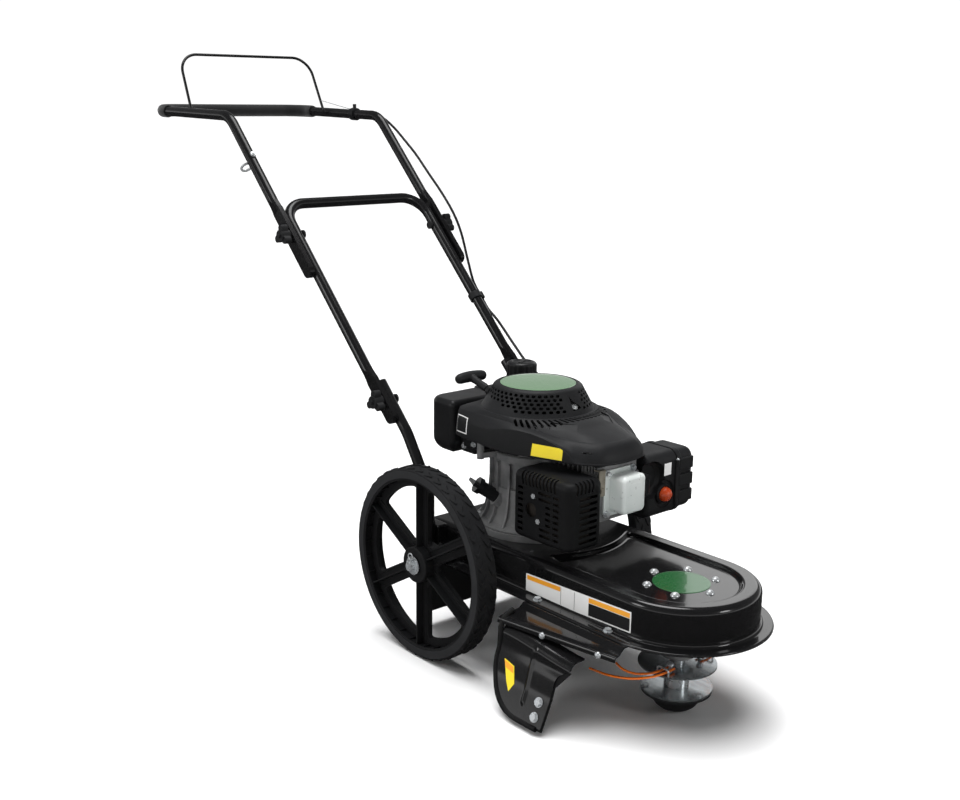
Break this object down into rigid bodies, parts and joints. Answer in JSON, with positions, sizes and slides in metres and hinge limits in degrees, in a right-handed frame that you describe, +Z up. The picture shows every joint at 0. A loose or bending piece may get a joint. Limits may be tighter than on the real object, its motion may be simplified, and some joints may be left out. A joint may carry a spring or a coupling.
{
  "type": "wheeled string trimmer",
  "caption": "Walk-behind wheeled string trimmer: tall spoked wheels, pressed deck with a string head under its nose, vertical shaft engine and a folding handle with a stop bail.",
  "frame": {"origin": "on the ground under the spindle, at the middle of the glide's flat bottom", "axes": "+X forward along the machine, +Y to the machine's left, +Z up"},
  "size_m": [1.5833, 0.4883, 1.0871],
  "materials": {
    "deck_paint": "gloss",
    "handle_paint": "satin",
    "wheel_plastic": "matte",
    "tyre": "matte",
    "zinc": "bright",
    "cast": "cast",
    "shroud_plastic": "matte",
    "tank_plastic": "satin",
    "guard_paint": "matte",
    "muffler_steel": "matte",
    "foam": "matte",
    "flap_rubber": "matte",
    "line": "satin",
    "primer": "satin",
    "sheath": "satin",
    "rope": "matte",
    "belt": "matte"
  },
  "bodies": {
    "chassis": {"deck_shell": "deck_paint", "guard_bracket": "deck_paint", "debris_guard": "deck_paint", "lower_legs": "handle_paint", "axle": "zinc", "axle_hardware": "zinc", "spindle_bearings": "zinc", "deck_bolts": "zinc", "rocker_cover": "zinc", "engine_bolts": "zinc", "spindle_housing": "cast", "crankcase": "cast", "engine_cylinder": "cast", "cylinder_head": "cast", "carburettor": "cast", "blower_shroud": "shroud_plastic", "starter_cover": "shroud_plastic", "air_box": "shroud_plastic", "air_box_cover": "shroud_plastic", "oil_tube": "shroud_plastic", "spark_plug": "shroud_plastic", "fuel_tank": "tank_plastic", "muffler_guard": "guard_paint", "muffler": "muffler_steel", "rear_flap": "flap_rubber", "guard_flap": "flap_rubber", "cable_lower": "sheath", "starter_rope": "rope", "v_belt": "belt"},
    "right_wheel": {"wheel_right": "wheel_plastic", "tyre_right": "tyre"},
    "left_wheel": {"wheel_left": "wheel_plastic", "tyre_left": "tyre"},
    "crank": {"crankshaft": "zinc", "flywheel": "cast", "drive_pulley": "zinc"},
    "trimmer_head": {"spindle_shaft": "zinc", "driven_pulley": "zinc", "head_plates": "zinc", "head_fittings": "zinc", "glide": "shroud_plastic", "trimmer_lines": "line"},
    "middle_handle": {"middle_handle": "handle_paint", "cable_clip": "shroud_plastic", "cable_upper": "sheath"},
    "upper_handle": {"upper_handle": "handle_paint", "grip": "foam", "cable_stop": "zinc", "rope_guide": "zinc", "bail_wire": "zinc"},
    "bail": {"bail": "handle_paint"},
    "knob_lower_right": {"knob_lower_right": "shroud_plastic"},
    "knob_lower_left": {"knob_lower_left": "shroud_plastic"},
    "knob_upper_right": {"knob_upper_right": "shroud_plastic"},
    "knob_upper_left": {"knob_upper_left": "shroud_plastic"},
    "recoil_handle": {"recoil_handle": "shroud_plastic"},
    "starter_reel": {"starter_reel": "shroud_plastic"},
    "fuel_cap": {"fuel_cap": "tank_plastic"},
    "oil_cap": {"oil_cap": "shroud_plastic"},
    "primer_bulb": {"primer_bulb": "primer"}
  },
  "joints": [
    {"name": "wheel_right_turn", "type": "hinge", "parent": "chassis", "child": "right_wheel", "pos_m": [-0.432, -0.199, 0.178], "axis": [0, 1, 0], "continuous": true},
    {"name": "wheel_left_turn", "type": "hinge", "parent": "chassis", "child": "left_wheel", "pos_m": [-0.432, 0.199, 0.178], "axis": [0, 1, 0], "continuous": true},
    {"name": "crank_turn", "type": "hinge", "parent": "chassis", "child": "crank", "pos_m": [-0.352, 0, 0.3], "axis": [0, 0, 1], "continuous": true},
    {"name": "head_turn", "type": "hinge", "parent": "chassis", "child": "trimmer_head", "pos_m": [0, 0, 0.1], "axis": [0, 0, 1], "continuous": true},
    {"name": "middle_fold", "type": "hinge", "parent": "chassis", "child": "middle_handle", "pos_m": [-0.587, 0, 0.446], "axis": [0, 1, 0], "range_deg": [0, 120], "deforming": ["cable_lower"]},
    {"name": "upper_fold", "type": "hinge", "parent": "middle_handle", "child": "upper_handle", "pos_m": [-0.86716, 0, 0.7301], "axis": [0, -1, 0], "range_deg": [0, 110], "deforming": ["cable_upper"]},
    {"name": "bail_swing", "type": "hinge", "parent": "upper_handle", "child": "bail", "pos_m": [-1.28174, 0, 0.95992], "axis": [0, -1, 0], "range_deg": [0, 53], "stiffness_Nm_per_rad": 1, "deforming": ["bail_wire"]},
    {"name": "knob_lower_right_turn", "type": "hinge", "parent": "middle_handle", "child": "knob_lower_right", "pos_m": [-0.587, -0.185, 0.446], "axis": [0, 1, 0], "continuous": true},
    {"name": "knob_lower_left_turn", "type": "hinge", "parent": "middle_handle", "child": "knob_lower_left", "pos_m": [-0.587, 0.185, 0.446], "axis": [0, 1, 0], "continuous": true},
    {"name": "knob_upper_right_turn", "type": "hinge", "parent": "upper_handle", "child": "knob_upper_right", "pos_m": [-0.86716, -0.2, 0.7301], "axis": [0, 1, 0], "continuous": true},
    {"name": "knob_upper_left_turn", "type": "hinge", "parent": "upper_handle", "child": "knob_upper_left", "pos_m": [-0.86716, 0.2, 0.7301], "axis": [0, 1, 0], "continuous": true},
    {"name": "recoil_pull", "type": "slide", "parent": "chassis", "child": "recoil_handle", "axis": [-0.9578, 0, 0.2874], "range_m": [0, 0.55], "stiffness_N_per_m": 36, "deforming": ["starter_rope"]},
    {"name": "reel_turn", "type": "hinge", "parent": "chassis", "child": "starter_reel", "pos_m": [-0.352, 0, 0.47], "axis": [0, 0, -1], "range_deg": [0, 526]},
    {"name": "fuel_cap_turn", "type": "hinge", "parent": "chassis", "child": "fuel_cap", "pos_m": [-0.5034, 0.1, 0.48], "axis": [0, 0, 1], "range_deg": [0, 90]},
    {"name": "oil_cap_turn", "type": "hinge", "parent": "chassis", "child": "oil_cap", "pos_m": [-0.382, -0.108, 0.315], "axis": [-0.3846, -0.7342, 0.5594], "range_deg": [0, 90]},
    {"name": "primer_press", "type": "slide", "parent": "chassis", "child": "primer_bulb", "axis": [-1, 0, 0], "range_m": [0, 0.007], "stiffness_N_per_m": 1400}
  ],
  "couplings": [
    {"joint": "head_turn", "follows": "crank_turn", "ratio": 0.83333},
    {"joint": "reel_turn", "follows": "recoil_pull", "rad_per_m": 16.667}
  ]
}
